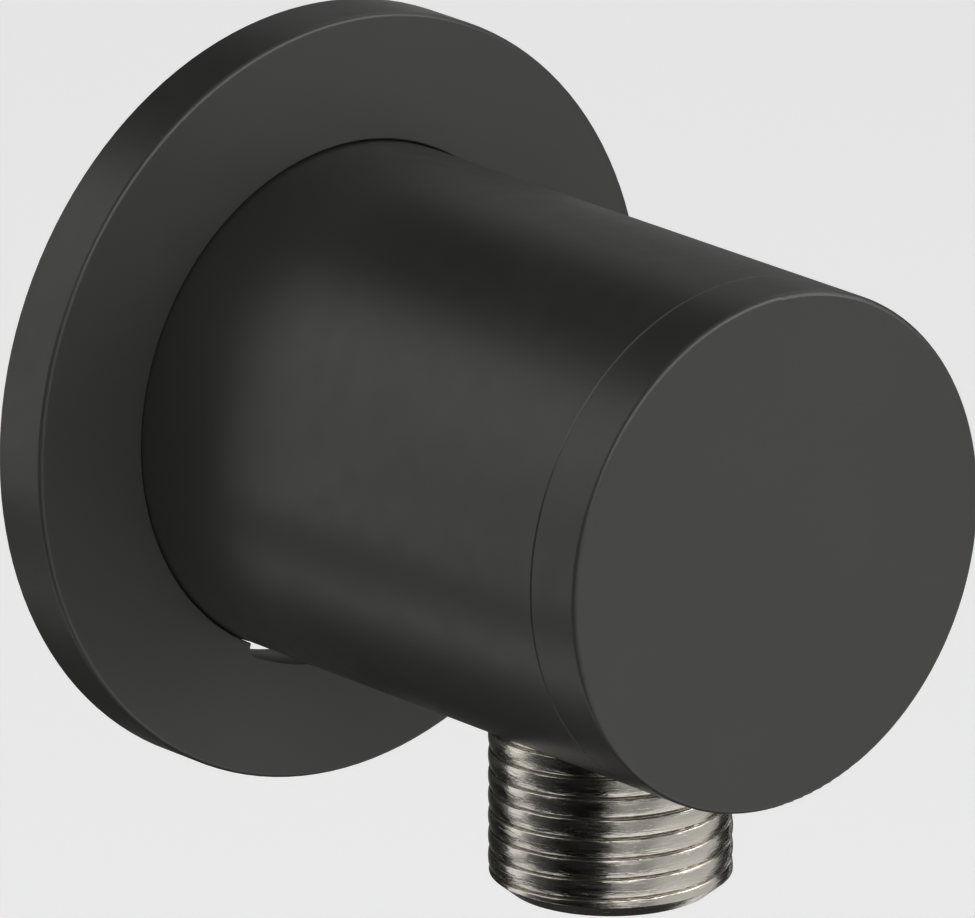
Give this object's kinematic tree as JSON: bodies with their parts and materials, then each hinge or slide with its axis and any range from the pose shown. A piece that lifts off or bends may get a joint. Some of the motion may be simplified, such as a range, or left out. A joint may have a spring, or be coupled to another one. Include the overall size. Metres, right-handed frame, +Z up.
{
  "type": "wall outlet elbow",
  "caption": "Round wall outlet elbow for a shower hose: a wall flange, a short round body with a front cap, and a threaded nipple pointing down that holds a sprung check valve.",
  "frame": {"origin": "on the body axis at the wall plane, at the mouth of the inlet thread", "axes": "+Y into the wall along the body axis, +Z up, hose nipple along -Z, front cap towards -Y"},
  "size_m": [0.068, 0.062, 0.069],
  "materials": {
    "black_coat": "matte black coating, very fine grain",
    "nickel": "bare turned nickel plating",
    "brass": "machined",
    "rubber": "smooth",
    "foam": "closed-cell foam",
    "steel": "stainless, bright",
    "valve_plastic": "moulded",
    "poppet_plastic": "moulded"
  },
  "bodies": {
    "outlet": {"wall_flange": "black_coat", "wall_gasket": "foam", "flange_o_ring": "rubber", "body_sleeve": "black_coat", "sleeve_o_ring": "rubber", "front_cap": "black_coat", "cap_o_ring": "rubber", "elbow_core": "brass", "inlet_seal": "rubber", "inlet_screen": "steel", "outlet_nipple": "nickel", "nipple_o_ring": "rubber", "valve_housing": "valve_plastic", "valve_o_ring": "rubber", "valve_guide": "valve_plastic", "valve_spring": "steel"},
    "poppet": {"valve_poppet": "poppet_plastic", "poppet_seal": "rubber"}
  },
  "joints": [
    {"name": "check_valve_slide", "type": "slide", "parent": "outlet", "child": "poppet", "axis": [0, 0, -1], "range_m": [0, 0.0024], "stiffness_N_per_m": 60, "springref_m": -0.0022, "deforming": ["valve_spring"]}
  ]
}
